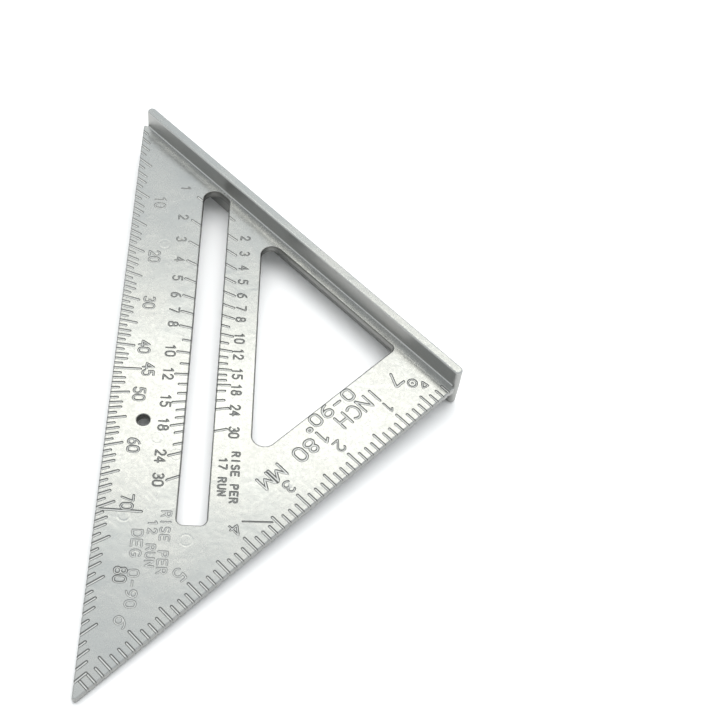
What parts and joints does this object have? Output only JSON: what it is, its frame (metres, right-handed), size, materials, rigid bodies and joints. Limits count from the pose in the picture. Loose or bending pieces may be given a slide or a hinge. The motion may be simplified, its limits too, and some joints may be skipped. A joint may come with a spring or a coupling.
{
  "type": "speed square",
  "caption": "Cast aluminium rafter square: flat triangular blade with a window and a scribing slot, joined to a T-shaped fence along one leg, for marking angles on boards.",
  "frame": {"origin": "the pivot corner, where the fence's inner face meets the graduated leg edge, at the middle of the blade's thickness", "axes": "+X along the fence from the pivot to its far end, +Y along the graduated leg from the fence to the tip, +Z out of the blade's front face"},
  "size_m": [0.18, 0.184, 0.02],
  "materials": {
    "cast_aluminium": "satin as-cast, lightly mottled"
  },
  "bodies": {
    "root": {"blade": "cast_aluminium", "fence": "cast_aluminium"}
  },
  "joints": []
}
